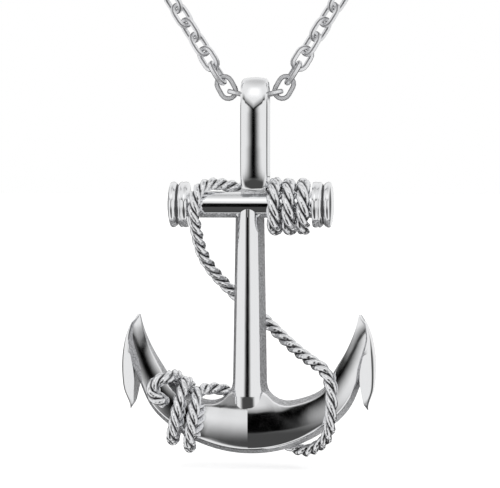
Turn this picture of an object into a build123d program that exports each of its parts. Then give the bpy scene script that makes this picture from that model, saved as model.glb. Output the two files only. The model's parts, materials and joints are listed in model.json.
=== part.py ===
from build123d import *
import os
from math import atan2, cos, degrees, pi, radians, sin, sqrt, tan

# Necklace with a cast anchor pendant that carries a twisted metal rope.
# Millimetres, +Z up, front towards -Y.
# The origin is the middle of the closed clasp, where the loop hangs at the nape.

# Chain links, flat oval rings cut from square wire
link_length = 3.53
link_width = 2.5
link_wire = 0.6
link_thickness = 0.6
joint_play = 0.19
links_per_side = 112

# Where the chain comes down to the bail
side_angle = 32.0
first_link_angle = 29.0
first_link_rise = 1.03
entry_slope = 13.5
entry_bar_reach = 0.4
twist_of_first_links = (0.0, 15.0, 30.0, 40.0)
settled_twist = 45.0

# Clasp at the nape with a ring at each end
clasp_length = 11.0
clasp_head_width = 5.2
clasp_tail_width = 3.4
clasp_thickness = 1.4
clasp_rim = 0.8
clasp_rounding = 0.28
ring_outer_diameter = 4.4
ring_wire = 0.7
ring_clearance = 0.3
ring_link_clearance = 0.15

# Bail, a long loop of strip soldered on the stock
bail_width = 3.4
bail_depth = 4.6
bail_wall = 0.8
bail_crown = 0.25
bail_to_stock = 13.7
solder_depth = 0.15
solder_width = 2.9
solder_length = 2.0
solder_height = 0.5
anchor_shift = -0.55

# Stock, the cross bar with a turned reel at each end
stock_length = 21.0
stock_diameter = 3.3
reel_width = 2.65
reel_diameter = 5.75
reel_groove_depth = 0.45
reel_groove_width = 0.63
reel_flange = 0.58
reel_waist = 0.12
cap_bulge = 0.4

# Shank, narrower in front than behind
shank_top_width = 3.6
shank_bottom_width = 4.5
shank_front = 1.7
shank_back = 1.25
shank_side_slope = 0.6
shank_crown = 0.5
shank_length = 27.4
web_fillet = 3.0
web_sink = 0.9
casting_shift = -0.25

# Arms, a crescent about one centre
arms_drop = 31.6
arms_radius = 16.75
arms_front = 1.95
arms_back = 1.5
arms_crown = 0.7
arms_inner_inset = 0.6

# Palms, leaf-shaped plates at the ends of the arms
palm_height = 12.1
palm_depth = 7.0
palm_thickness = 1.6
palm_crown = 0.6
palm_bulge = 1.55
palm_lean = 5.2
palm_angle = 71.0
palm_seat = 0.9157
spare_angle = 5.0

# Rope, twisted wire that lies round the stock, behind the shank and round both arms
rope_diameter = 1.6
rope_clearance = 0.1
turn_slack = 0.1
reel_gap = 0.15
turn_corner_swell = 1.09
turn_side_swell = 1.02
arm_back_swell = 1.27

# Derived sizes
pitch = link_length - 2 * link_wire - joint_play
link_end_offset = (link_length - link_width) / 2
link_hole_radius = link_width / 2 - link_wire
bar_offset = link_length / 2 - link_wire / 2
bail_radius = bail_depth / 2
bail_hole_radius = bail_radius - bail_wall
stock_radius = stock_diameter / 2
reel_radius = reel_diameter / 2
rope_radius = rope_diameter / 2
rope_reach = rope_radius + rope_clearance


def make_link():
    outer = SlotOverall(link_length, link_width)
    hole = SlotOverall(link_length - 2 * link_wire, link_width - 2 * link_wire)
    return extrude(outer - hole, link_thickness / 2, both=True)


def place_link(link, x, z, direction, roll):
    """A link lies flat in the XZ plane at roll 0; direction is degrees up from +X."""
    upright = Rot(90, 0, 0) * link
    rolled = Rot(roll, 0, 0) * upright
    return Pos(x, 0, z) * Rot(0, -direction, 0) * rolled


# The loop: two straight sides, tangent to one round arc over the neck
entry_x = entry_bar_reach + bar_offset * cos(radians(entry_slope))
hook_reach = link_hole_radius - joint_play - link_wire / 2 + bar_offset
first_x = (entry_x + hook_reach * cos(radians(entry_slope))
           + link_end_offset * sin(radians(first_link_angle)))
entry_drop = (hook_reach * sin(radians(entry_slope))
              + link_end_offset * cos(radians(first_link_angle)))

ring_radius = (ring_outer_diameter - ring_wire) / 2
ring_hole_radius = ring_radius - ring_wire / 2
ring_from_link = link_length / 2 - link_wire - ring_link_clearance - ring_wire / 2 + ring_radius
ring_from_middle = clasp_length / 2 - clasp_rim + ring_hole_radius - ring_clearance

first_along = first_x / sin(radians(side_angle))
half_loop = first_along + (links_per_side - 1) * pitch + ring_from_link + ring_from_middle
neck_radius = half_loop / (1 / tan(radians(side_angle)) + pi / 2 + radians(side_angle))
straight_side = neck_radius / tan(radians(side_angle))
neck_centre_z = -neck_radius * cos(ring_from_middle / neck_radius)
corner_z = neck_centre_z - neck_radius / sin(radians(side_angle))
bail_axis_z = corner_z + first_along * cos(radians(side_angle)) - first_link_rise


def along_loop(distance):
    """Point and heading on the right half of the loop, from its lower corner up to the nape."""
    if distance <= straight_side:
        heading = 90 - side_angle
        x = distance * cos(radians(heading))
        z = corner_z + distance * sin(radians(heading))
        return x, z, heading
    turned = (distance - straight_side) / neck_radius - radians(side_angle)
    x = neck_radius * cos(turned)
    z = neck_centre_z + neck_radius * sin(turned)
    return x, z, degrees(turned) + 90


def twist_at(number):
    """The links turn slowly from square to the bail to their settled lie, and back at the clasp."""
    from_end = min(number, links_per_side - 1 - number)
    if from_end < len(twist_of_first_links):
        return twist_of_first_links[from_end]
    return settled_twist


def side_links(link):
    """The links of the right half, from beside the bail up to the ring at the clasp."""
    links = []
    entry_z = bail_axis_z + first_link_rise - entry_drop
    links.append(place_link(link, entry_x, entry_z, entry_slope, 90))
    for number in range(links_per_side):
        x, z, heading = along_loop(first_along + number * pitch)
        if number == 0:
            heading = 90 - first_link_angle
        links.append(place_link(link, x, z, heading, 90 * number + twist_at(number)))
    return links


def make_chains():
    link = make_link()
    right = side_links(link)
    left = [mirror(piece, about=Plane.YZ) for piece in right]
    middle = place_link(link, 0, bail_axis_z, 0, 0)
    return left, [middle] + right


def make_ring(side):
    ring = Rot(90, 0, 0) * Torus(ring_radius, ring_wire / 2)
    return Pos(side * ring_from_middle, 0, 0) * ring


def make_clasp():
    """Closed clasp of one piece: an eye at the left and a long eye for the end ring at the right."""
    head_radius = clasp_head_width / 2
    tail_radius = clasp_tail_width / 2
    head_x = clasp_length / 2 - head_radius
    tail_x = -clasp_length / 2 + tail_radius
    outline = make_hull(
        (Pos(head_x, 0) * Circle(head_radius)).edges()
        + (Pos(tail_x, 0) * Circle(tail_radius)).edges()
    )
    head_hole_radius = head_radius - clasp_rim
    tail_hole_radius = tail_radius - clasp_rim
    hole_foot_x = tail_x + tail_radius + clasp_rim
    hole = make_hull(
        (Pos(head_x, 0) * Circle(head_hole_radius)).edges()
        + (Pos(hole_foot_x, 0) * Circle(tail_hole_radius)).edges()
    )
    eye = Pos(tail_x, 0) * Circle(tail_hole_radius)
    body = extrude(outline - hole - eye, clasp_thickness / 2, both=True)
    rims = body.edges().filter_by(Plane.XY)
    return fillet(rims, clasp_rounding)


def strip_section(inner_radius):
    """Section of the bail's strip in the YZ half plane's own XY: x across, y outwards."""
    half = bail_width / 2
    edge = inner_radius + bail_wall - bail_crown
    crest = inner_radius + bail_wall
    outline = Polyline((half, edge), (half, inner_radius), (-half, inner_radius), (-half, edge))
    crown = ThreePointArc((-half, edge), (0, crest), (half, edge))
    return make_face(outline + crown)


def make_bail():
    """Long loop: half a ring at the top and at the foot, two straight legs, and the solder below."""
    foot_centre = stock_radius - solder_depth + bail_radius
    leg = bail_to_stock - foot_centre
    section = strip_section(bail_hole_radius)
    top = revolve(section, Axis.X, 180)
    foot = Pos(0, 0, -leg) * mirror(top, about=Plane.XY)
    back_leg = extrude(section, leg, dir=(0, 0, -1))
    front_leg = mirror(back_leg, about=Plane.XZ)
    solder = Pos(0, 0, stock_radius) * Box(solder_width, solder_length, 2 * solder_height)
    return Pos(0, 0, bail_to_stock) * (top + foot + back_leg + front_leg) + solder


def make_stock():
    """Turned profile about X: bar, then a waisted reel, a groove, a flange and a low domed cap."""
    half = stock_length / 2
    cap_x = half - cap_bulge
    reel_x = half - reel_width
    flange_x = cap_x - reel_flange
    barrel_end_x = flange_x - reel_groove_width
    cap_radius = (reel_radius ** 2 + cap_bulge ** 2) / (2 * cap_bulge)
    cap_middle_x = half - cap_radius + sqrt(cap_radius ** 2 - (reel_radius / 2) ** 2)
    profile = Polyline((0, 0), (0, stock_radius), (reel_x, stock_radius), (reel_x, reel_radius))
    waist = ThreePointArc(
        (reel_x, reel_radius),
        ((reel_x + barrel_end_x) / 2, reel_radius - reel_waist),
        (barrel_end_x, reel_radius),
    )
    groove = Polyline(
        (barrel_end_x, reel_radius),
        ((barrel_end_x + flange_x) / 2, reel_radius - reel_groove_depth),
        (flange_x, reel_radius),
        (cap_x, reel_radius),
    )
    cap = ThreePointArc((cap_x, reel_radius), (cap_middle_x, reel_radius / 2), (half, 0))
    close = Line((half, 0), (0, 0))
    face = make_face(profile + waist + groove + cap + close)
    right = revolve(Plane.XZ * face, Axis.X, 360)
    return right + mirror(right, about=Plane.YZ)


def shank_section(width, z):
    """Back wide, sides sloping in to a narrower crowned front."""
    half = width / 2
    slim = half - shank_side_slope
    shoulder = -(shank_front - shank_crown)
    sides = Polyline((-slim, shoulder), (-half, shank_back), (half, shank_back), (slim, shoulder))
    crown = ThreePointArc((slim, shoulder), (0, -shank_front), (-slim, shoulder))
    return Pos(0, 0, z) * make_face(sides + crown)


def make_shank():
    top = shank_section(shank_top_width, 0)
    foot = shank_section(shank_bottom_width, -shank_length)
    return loft([top, foot])


arms_centre_z = arms_radius - arms_drop

# Sections of an arm: angle from straight down, inner and outer edge as shares of the arms' radius,
# depth as a share of the full depth, and how far the front edge stands in from the outer edge
arm_sections = (
    # angle, inner, outer, depth, inset
    (0.0, 0.605, 1.000, 1.00, 0.045),
    (18.0, 0.635, 1.000, 1.00, 0.045),
    (33.0, 0.690, 1.000, 0.98, 0.045),
    (48.0, 0.745, 0.998, 0.92, 0.040),
    (62.0, 0.738, 0.955, 0.82, 0.030),
    (76.0, 0.768, 0.925, 0.66, 0.020),
    (88.0, 0.808, 0.890, 0.44, 0.012),
    (94.0, 0.828, 0.852, 0.25, 0.004),
)


def arm_face(angle, inner, outer, depth, inset):
    """Section of the arms on a plane through their centre; local x runs outwards, local y back."""
    outwards = (sin(radians(angle)), 0, -cos(radians(angle)))
    along = (cos(radians(angle)), 0, sin(radians(angle)))
    near = inner * arms_radius
    far = outer * arms_radius
    back = arms_back * depth
    front = arms_front * depth
    shoulder = front - arms_crown * depth
    front_near = near + inset * arms_radius * arms_inner_inset
    front_far = far - inset * arms_radius
    walls = Polyline((front_near, -shoulder), (near, back), (far, back), (front_far, -shoulder))
    crown = ThreePointArc(
        (front_far, -shoulder),
        ((front_near + front_far) / 2, -front),
        (front_near, -shoulder),
    )
    centre = Plane(origin=(0, 0, arms_centre_z), x_dir=outwards, z_dir=along)
    return centre * make_face(walls + crown)


def make_arms():
    """Both arms as one crescent, lofted from the left tip to the right tip."""
    right = [arm_face(*row) for row in arm_sections]
    left = [arm_face(-row[0], *row[1:]) for row in arm_sections[1:]]
    return loft(list(reversed(left)) + right)


def web_face(half, y):
    """Outline of the right half of the web, with its rounded corner starting at half its width."""
    reach = half + web_fillet
    foot_radius = arm_sections[1][1] * arms_radius + web_sink
    low_z = arms_centre_z - sqrt(foot_radius ** 2 - reach ** 2)
    top_z = low_z + web_fillet
    corner = web_fillet * (1 - sqrt(0.5))
    edge = ThreePointArc((half, top_z), (half + corner, low_z + corner), (reach, low_z))
    rest = Polyline((reach, low_z), (reach, low_z - 1), (0, low_z - 1), (0, top_z), (half, top_z))
    return Pos(0, y, 0) * (Plane.XZ * make_face(edge + rest))


def make_web():
    """Web that rounds the corners between the shank and the arms, its sides as steep as the shank's."""
    half = (shank_top_width + 3 * shank_bottom_width) / 8
    back = web_face(half, shank_back)
    front = web_face(half - shank_side_slope, shank_crown - shank_front)
    web = loft([back, front], ruled=True)
    return web + mirror(web, about=Plane.YZ)


# Outline of a palm seen from the front, from its foot up: shares of its half height and its bulge
palm_profile = (
    # height, bulge
    (-1.00, 0.00),
    (-0.55, 0.68),
    (0.00, 1.00),
    (0.45, 0.93),
    (0.78, 0.62),
    (1.00, 0.00),
)


def make_palm():
    """Leaf-shaped plate, crowned outwards, from a turned crescent cut to the leaf's outline."""
    half = palm_height / 2
    half_depth = palm_depth / 2
    crown_radius = (half_depth ** 2 + palm_crown ** 2) / (2 * palm_crown)
    outer = Spline(*[(bulge * palm_bulge, height * half) for height, bulge in palm_profile])
    inner = ThreePointArc(outer @ 1, (palm_bulge - palm_thickness, 0), outer @ 0)
    crescent = Pos(crown_radius, 0) * make_face(outer + inner)
    span = 2 * (degrees(atan2(half_depth, crown_radius)) + spare_angle)
    plate = revolve(Rot(0, 0, -span / 2) * (Plane.XZ * crescent), Axis.Z, span)
    outline_radius = (half ** 2 + half_depth ** 2) / palm_depth
    leaf = (Pos(outline_radius - half_depth, 0) * Circle(outline_radius)) & (
        Pos(half_depth - outline_radius, 0) * Circle(outline_radius))
    prism = extrude(Plane.YZ * leaf, crown_radius * 2, dir=(1, 0, 0))
    palm = Pos(-crown_radius, 0, 0) * (plate & prism)
    seat_radius = palm_seat * arms_radius
    seat_x = seat_radius * sin(radians(palm_angle))
    seat_z = arms_centre_z - seat_radius * cos(radians(palm_angle))
    return Pos(seat_x, 0, seat_z) * Rot(0, -palm_lean, 0) * palm


def make_anchor():
    palm = make_palm()
    cast = make_arms() + palm + mirror(palm, about=Plane.YZ)
    cast = Pos(casting_shift, 0, 0) * (cast + make_shank() + make_web())
    return cast + make_stock() + Pos(-anchor_shift, 0, 0) * make_bail()


# The rope's route in the anchor's own frame: x to the right, y to the back, z up from the stock.
# It starts behind the right reel, and ends in a hitch on the left arm.
turn_start_x = 3.05
turn_spacing = 1.84
turn_top = stock_radius + rope_reach + turn_slack
turn_depth = turn_top
turn_bottom = -3.2
steps_per_turn = 8
reel_side_x = stock_length / 2 - reel_width - reel_gap - rope_radius
turns = 1 + int((reel_side_x - turn_start_x) / turn_spacing)

route_behind_bail = (
    (3.25, 2.05, 2.48),
    (1.90, 3.15, 1.95),
    (0.20, 3.25, 1.65),
    (-1.45, 2.75, 1.95),
)
# Over the stock beside the left reel, with x measured from the reel
route_over_stock = (
    (3.95, 1.80, 2.38),
    (2.45, 0.75, 2.65),
    (1.20, -0.65, 2.55),
    (0.35, -2.00, 1.75),
    (0.00, -2.75, 0.20),
    (0.00, -2.55, -1.50),
    (0.15, -1.80, -3.10),
)
route_down_and_across = (
    (-6.50, -1.00, -4.70),
    (-6.15, -0.20, -6.25),
    (-5.45, 0.60, -7.65),
    (-4.55, 1.35, -8.95),
    (-3.45, 1.95, -10.20),
    (-2.05, 2.27, -11.60),
    (-0.25, 2.38, -13.10),
    (1.60, 2.25, -14.70),
    (3.65, 1.35, -16.55),
    (5.80, 0.15, -18.35),
    (7.95, -1.35, -19.70),
    (9.55, -2.40, -20.60),
)
# On the arms z is measured up from their lowest point
route_over_right_arm = (
    (10.30, -2.80, 9.30),
    (10.45, -2.95, 7.30),
    (10.35, -2.85, 5.40),
    (10.15, -2.30, 3.60),
    (9.60, -1.20, 2.10),
    (8.50, 0.00, 1.15),
    (7.10, 1.25, 0.40),
    (5.55, 2.35, 0.55),
)
route_behind_arms = (
    (4.05, 2.65, 1.35),
    (2.65, 2.52, 2.65),
    (1.05, 2.52, 4.25),
    (-0.75, 2.52, 5.95),
    (-2.45, 2.35, 7.45),
    (-4.10, 1.60, 8.30),
)
# Turns round the left arm: each row holds a turn's middle and how far its top lies from there
left_turns = (
    # middle x, middle z, top x, top z
    (-7.15, 4.50, 0.55, 3.68),
    (-9.10, 5.50, 0.80, 3.75),
    (-10.20, 6.00, 0.60, 3.95),
)
left_turn_front = 2.95
left_turn_back = 2.9
route_hitch = (
    (-10.40, -2.10, 9.90),
    (-11.85, -2.60, 9.45),
    (-12.45, -2.60, 8.15),
    (-11.60, -2.65, 6.95),
    (-10.40, -2.75, 6.65),
)


def turn_swell(step, corner_swell=turn_corner_swell):
    """The points between the four sides stand out, so that the turns clear what they go round."""
    return corner_swell if step % 2 else turn_side_swell


def stock_turns():
    """Turns round the stock, right of the shank, that move on only behind it."""
    points = []
    middle = (turn_top + turn_bottom) / 2
    for step in range(turns * steps_per_turn - 3):
        turn, part = divmod(step, steps_per_turn)
        share = part / steps_per_turn
        x = turn_start_x + turn_spacing * (turn + max(0, 2 * share - 1))
        y = -turn_depth * sin(2 * pi * share) * turn_swell(part)
        z = middle + (turn_top - middle) * cos(2 * pi * share) * turn_swell(part)
        points.append((x, y, z))
    return list(reversed(points))


def arm_turns():
    """Two turns round the left arm, that move on behind it from row to row of the table."""
    points = []
    for step in range((len(left_turns) - 1) * steps_per_turn + 1):
        turn, part = divmod(step, steps_per_turn)
        share = part / steps_per_turn
        here = left_turns[turn]
        after = left_turns[min(turn + 1, len(left_turns) - 1)]
        moved = max(0, 2 * share - 1)
        middle_x, middle_z, top_x, top_z = [a + (b - a) * moved for a, b in zip(here, after)]
        behind = share > 0.5
        swell = turn_swell(part, arm_back_swell if behind else turn_corner_swell)
        depth = left_turn_back if behind else left_turn_front
        rise = swell * cos(2 * pi * share)
        y = -swell * depth * sin(2 * pi * share)
        points.append((middle_x + top_x * rise, y, middle_z + top_z * rise))
    return points


def make_rope():
    over_stock = [(x - reel_side_x, y, z) for x, y, z in route_over_stock]
    on_arms = list(route_over_right_arm) + list(route_behind_arms) + arm_turns() + list(route_hitch)
    points = (stock_turns() + list(route_behind_bail) + over_stock + list(route_down_and_across)
              + [(x, y, z - arms_drop) for x, y, z in on_arms])
    corners = [Vector(*point) for point in points]
    radii = []
    for before, here, after in zip(corners, corners[1:], corners[2:]):
        turn = (here - before).get_angle(after - here)
        run = min((here - before).length, (after - here).length)
        radii.append(0.45 * run / tan(radians(turn) / 2))
    print("rope radii from", round(min(radii), 2), "to", round(max(radii), 2))
    path = FilletPolyline(*corners, radius=radii)
    start = Plane(origin=path @ 0, z_dir=path % 0)
    rope = sweep(start * Circle(rope_radius), path=path)
    print("rope length", round(path.length, 1), "volume share",
          round(rope.volume / (pi * rope_radius ** 2 * path.length), 4))
    return rope


def write(name, pieces):
    solids = []
    for piece in pieces:
        solids.extend(piece.solids())
    shape = solids[0] if len(solids) == 1 else Compound(children=solids)
    shape.label = name
    export_step(shape, f"parts/{name}.step")
    print(name, len(solids), "solids")


def main():
    os.makedirs("parts", exist_ok=True)
    to_anchor = Pos(anchor_shift, 0, bail_axis_z - bail_to_stock)
    left, right = make_chains()
    write("chain_left", left)
    write("chain_right", right)
    write("clasp", [make_clasp()])
    write("clasp_ring", [make_ring(-1)])
    write("end_ring", [make_ring(1)])
    write("anchor", [to_anchor * make_anchor()])
    write("rope", [to_anchor * make_rope()])
    print("neck radius", round(neck_radius, 2), "bail axis", round(bail_axis_z, 2))
    print("loop length", round(2 * half_loop, 1))


main()
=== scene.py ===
import json
from math import cos, degrees, pi, radians, sin, sqrt, tan

import bmesh
import bpy
from mathutils import Matrix, Vector, noise


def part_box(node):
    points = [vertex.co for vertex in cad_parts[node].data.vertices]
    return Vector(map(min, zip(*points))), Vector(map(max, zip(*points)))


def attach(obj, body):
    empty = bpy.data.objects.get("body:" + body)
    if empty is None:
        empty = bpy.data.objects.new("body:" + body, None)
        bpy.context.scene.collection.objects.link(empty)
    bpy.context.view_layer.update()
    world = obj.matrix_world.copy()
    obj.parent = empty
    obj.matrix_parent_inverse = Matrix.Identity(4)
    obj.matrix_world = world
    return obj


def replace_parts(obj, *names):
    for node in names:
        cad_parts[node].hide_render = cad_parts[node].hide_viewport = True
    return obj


# Anchor pendant on its chain. The dictionaries are in millimetres and degrees.
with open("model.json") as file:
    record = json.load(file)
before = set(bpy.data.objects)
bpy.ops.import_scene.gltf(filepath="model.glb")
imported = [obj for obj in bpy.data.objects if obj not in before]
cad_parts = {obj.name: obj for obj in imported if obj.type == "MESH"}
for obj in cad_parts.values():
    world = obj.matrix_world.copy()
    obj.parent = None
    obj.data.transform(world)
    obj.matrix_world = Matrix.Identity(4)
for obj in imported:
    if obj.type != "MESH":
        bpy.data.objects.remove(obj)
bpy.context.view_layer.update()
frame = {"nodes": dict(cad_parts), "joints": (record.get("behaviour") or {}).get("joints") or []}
print("loaded", len(frame["nodes"]), "nodes")

mm = 0.001
mergeDistance = 0.002
bailAxisZ = frame["joints"][0]["pos_m"][2] / mm   # the pendant swings about the link in its bail


# Materials
def newMaterial(name, colour, roughness, metallic=1.0):
    material = bpy.data.materials.new(name)
    material.use_nodes = True
    shader = material.node_tree.nodes["Principled BSDF"]
    shader.inputs["Base Color"].default_value = (*colour, 1)
    shader.inputs["Metallic"].default_value = metallic
    shader.inputs["Roughness"].default_value = roughness
    return material, shader


def millimetreNoise(tree, size, detail, stretch=(1, 1, 1)):
    # noise whose lumps are about size millimetres wide
    place = tree.nodes.new("ShaderNodeTexCoord")
    mapping = tree.nodes.new("ShaderNodeMapping")
    mapping.inputs["Scale"].default_value = [1 / (mm * size * part) for part in stretch]
    tree.links.new(place.outputs["Object"], mapping.inputs["Vector"])
    texture = tree.nodes.new("ShaderNodeTexNoise")
    texture.inputs["Scale"].default_value = 1.0
    texture.inputs["Detail"].default_value = detail
    tree.links.new(mapping.outputs["Vector"], texture.inputs["Vector"])
    return texture.outputs["Fac"]


def spread(tree, value, low, high, start=0.3, end=0.7):
    ranged = tree.nodes.new("ShaderNodeMapRange")
    ranged.inputs["From Min"].default_value = start
    ranged.inputs["From Max"].default_value = end
    ranged.inputs["To Min"].default_value = low
    ranged.inputs["To Max"].default_value = high
    tree.links.new(value, ranged.inputs["Value"])
    return ranged.outputs["Result"]


def varyRoughness(tree, shader, size, low, high, detail=3):
    patches = millimetreNoise(tree, size, detail)
    tree.links.new(spread(tree, patches, low, high), shader.inputs["Roughness"])


def addBump(tree, shader, height, depth, strength=1.0, below=None):
    bump = tree.nodes.new("ShaderNodeBump")
    bump.inputs["Strength"].default_value = strength
    bump.inputs["Distance"].default_value = depth * mm
    tree.links.new(height, bump.inputs["Height"])
    if below:
        tree.links.new(below, bump.inputs["Normal"])
    tree.links.new(bump.outputs["Normal"], shader.inputs["Normal"])
    return bump.outputs["Normal"]


def polishedSteel():
    material, shader = newMaterial("polished_steel", (0.9, 0.905, 0.915), 0.08)
    tree = material.node_tree
    varyRoughness(tree, shader, 1.8, 0.05, 0.11, 4)
    # a cast face keeps a faint waviness under its polish
    wave = addBump(tree, shader, millimetreNoise(tree, 2.4, 1), 0.02, 0.5)
    hairlines = millimetreNoise(tree, 0.12, 2, (1, 1, 12))
    addBump(tree, shader, hairlines, 0.0015, 0.35, wave)
    return material


def castSteel():
    material, shader = newMaterial("cast_steel", (0.6, 0.605, 0.62), 0.4, 0.7)
    tree = material.node_tree
    grain = millimetreNoise(tree, 0.22, 3)
    tone = tree.nodes.new("ShaderNodeValToRGB")
    tone.color_ramp.elements[0].position = 0.36
    tone.color_ramp.elements[0].color = (0.24, 0.24, 0.25, 1)
    tone.color_ramp.elements[1].position = 0.64
    tone.color_ramp.elements[1].color = (0.76, 0.765, 0.78, 1)
    tree.links.new(grain, tone.inputs["Fac"])
    tree.links.new(tone.outputs["Color"], shader.inputs["Base Color"])
    tree.links.new(spread(tree, grain, 0.3, 0.5), shader.inputs["Roughness"])
    addBump(tree, shader, grain, 0.12, 1.0)
    return material


def grooveShadeSteel():
    # the bottoms of grooves: rough metal where no polish reaches, with painted shade as its dark
    # colour
    material, shader = newMaterial("groove_painted_shade_steel", (0.2, 0.2, 0.205), 0.45, 0.7)
    tree = material.node_tree
    varyRoughness(tree, shader, 0.3, 0.35, 0.6)
    addBump(tree, shader, millimetreNoise(tree, 0.2, 3), 0.08, 0.8)
    return material


def solderMetal():
    material, shader = newMaterial("solder_metal", (0.66, 0.665, 0.68), 0.35, 0.6)
    tree = material.node_tree
    varyRoughness(tree, shader, 0.3, 0.25, 0.45)
    addBump(tree, shader, millimetreNoise(tree, 0.35, 3), 0.12, 0.8)
    return material


def linkSteel(name, tone):
    material, shader = newMaterial(name, tone, 0.4, 0.8)
    tree = material.node_tree
    varyRoughness(tree, shader, 0.7, 0.33, 0.46)
    addBump(tree, shader, millimetreNoise(tree, 0.3, 3), 0.01, 0.4)
    return material


def ropeSteel():
    # the grooves between the strands get painted shade, and fine wires run across each strand,
    # along the piece's own map
    material, shader = newMaterial("rope_steel", (0.84, 0.845, 0.86), 0.12)
    tree = material.node_tree
    varyRoughness(tree, shader, 0.5, 0.08, 0.18)
    uv = tree.nodes.new("ShaderNodeUVMap")
    uv.uv_map = "alongAndAround"
    split = tree.nodes.new("ShaderNodeSeparateXYZ")
    tree.links.new(uv.outputs["UV"], split.inputs[0])
    across = tree.nodes.new("ShaderNodeMath")
    across.operation = "PINGPONG"
    across.inputs[1].default_value = 0.5
    tree.links.new(split.outputs["Y"], across.inputs[0])   # 0 in a groove, 0.5 on a strand's crest
    # painted shade: the colour darkens to near black towards each groove between the strands
    tone = tree.nodes.new("ShaderNodeValToRGB")
    tone.color_ramp.elements[0].position = 0.04
    tone.color_ramp.elements[0].color = (0.1, 0.1, 0.105, 1)
    tone.color_ramp.elements[1].position = 0.2
    tone.color_ramp.elements[1].color = (0.86, 0.865, 0.88, 1)
    tree.links.new(across.outputs[0], tone.inputs["Fac"])
    tree.links.new(tone.outputs["Color"], shader.inputs["Base Color"])
    wires = tree.nodes.new("ShaderNodeTexWave")
    wires.inputs["Scale"].default_value = rope["wireScale"]
    wires.inputs["Distortion"].default_value = 0.8
    wires.inputs["Detail"].default_value = 1.0
    tree.links.new(uv.outputs["UV"], wires.inputs["Vector"])
    lines = addBump(tree, shader, wires.outputs["Fac"], 0.05, 0.6)
    addBump(tree, shader, millimetreNoise(tree, 0.5, 2), 0.06, 0.6, lines)
    return material


# Making shapes
def startRing(bm, points):
    ring = bmesh.ops.create_circle(bm, segments=len(points), radius=1)["verts"]
    for vert, point in zip(ring, points):
        vert.co = point
    return ring


def ringEdges(bm, ring):
    return [bm.edges.get(pair) for pair in zip(ring, ring[1:] + ring[:1])]


def growRing(bm, ring, points):
    grown = bmesh.ops.extrude_edge_only(bm, edges=ringEdges(bm, ring))["geom"]
    fresh = {item for item in grown if isinstance(item, bmesh.types.BMVert)}
    nextRing = []
    for vert, point in zip(ring, points):
        neighbours = [edge.other_vert(vert) for edge in vert.link_edges]
        twin = next(other for other in neighbours if other in fresh)
        twin.co = point
        nextRing.append(twin)
    return nextRing


def sweepRings(bm, rings, closed=False):
    first = ring = startRing(bm, rings[0])
    for points in rings[1:]:
        ring = growRing(bm, ring, points)
    if closed:
        bmesh.ops.bridge_loops(bm, edges=ringEdges(bm, ring) + ringEdges(bm, first))
    else:
        for end in (first, ring):
            bmesh.ops.contextual_create(bm, geom=ringEdges(bm, end))


def softenEdges(bm, width, minAngle=40, segments=2):
    sharp = [edge for edge in bm.edges if len(edge.link_faces) == 2
             and edge.calc_face_angle() > radians(minAngle)]
    bmesh.ops.bevel(bm, geom=sharp, offset=width, offset_type="OFFSET", affect="EDGES",
                    segments=segments, profile=0.5, material=-1, clamp_overlap=True)


def mirrorX(bm):
    # doubles the shape across the plane x = 0
    copied = bmesh.ops.duplicate(bm, geom=bm.faces[:] + bm.edges[:] + bm.verts[:])["geom"]
    verts = [item for item in copied if isinstance(item, bmesh.types.BMVert)]
    bmesh.ops.scale(bm, vec=(-1, 1, 1), verts=verts)


def joinUp(bm):
    bmesh.ops.remove_doubles(bm, verts=bm.verts, dist=mergeDistance)
    bmesh.ops.recalc_face_normals(bm, faces=bm.faces)
    bm.normal_update()


def makePiece(name, bm, body, materials, place, sharpAngle=38, evenFaces=False):
    joinUp(bm)
    bmesh.ops.transform(bm, matrix=place, verts=bm.verts)
    for face in bm.faces:
        face.smooth = True
    for edge in bm.edges:
        edge.smooth = len(edge.link_faces) != 2 or edge.calc_face_angle() < radians(sharpAngle)
    mesh = bpy.data.meshes.new(name)
    bm.to_mesh(mesh)
    bm.free()
    for material in materials:
        mesh.materials.append(material)
    piece = bpy.data.objects.new(name, mesh)
    bpy.context.scene.collection.objects.link(piece)
    if evenFaces:   # large faces keep their own slope and the eased edges take up the turn
        piece.modifiers.new("evenFaces", "WEIGHTED_NORMAL").keep_sharp = True
    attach(piece, body)
    print("made", name, len(mesh.polygons), "faces")
    return piece


# Camera
camera = {
    "azimuth": 6, "elevation": 2, "distance": 350, "lens": 200,
    "aimX": -0.67, "aimBelowBail": 18.66,
}


def placeCamera():
    aim = Vector((camera["aimX"], 0, bailAxisZ - camera["aimBelowBail"]))
    azimuth = radians(camera["azimuth"])
    elevation = radians(camera["elevation"])
    away = Vector((sin(azimuth) * cos(elevation), -cos(azimuth) * cos(elevation), sin(elevation)))
    data = bpy.data.cameras.new("camera")
    data.lens = camera["lens"]
    data.sensor_width = 36
    data.clip_start = 0.01
    eye = bpy.data.objects.new("camera", data)
    eye.location = (aim + away * camera["distance"]) * mm
    eye.rotation_euler = (-away).to_track_quat("-Z", "Y").to_euler()
    bpy.context.scene.collection.objects.link(eye)
    bpy.context.scene.camera = eye


placeCamera()

# The anchor's own frame: x to the right of the stock's middle, z up from its axis
bail = {
    "width": 3.4, "depth": 4.6, "wall": 0.8, "toStock": 13.7, "shift": 0.55, "solderDepth": 0.15,
    "topRise": 4.6, "topPower": 2, "footRise": 6.0, "footPower": 4, "steps": 32,
    "crown": 0.25, "footCrown": 0.2, "innerCrown": 0.2,
    "edge": 0.04, "roundFrom": 0.84, "round": 0.28,
}
castingShift = -0.25
anchorLow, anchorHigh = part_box("anchor")
anchorX = (anchorLow.x + anchorHigh.x) / 2 / mm - castingShift
stockZ = bailAxisZ - bail["toStock"]
anchorPlace = Matrix.Scale(mm, 4) @ Matrix.Translation((anchorX, 0, stockZ))
castPlace = anchorPlace @ Matrix.Translation((castingShift, 0, 0))

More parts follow.
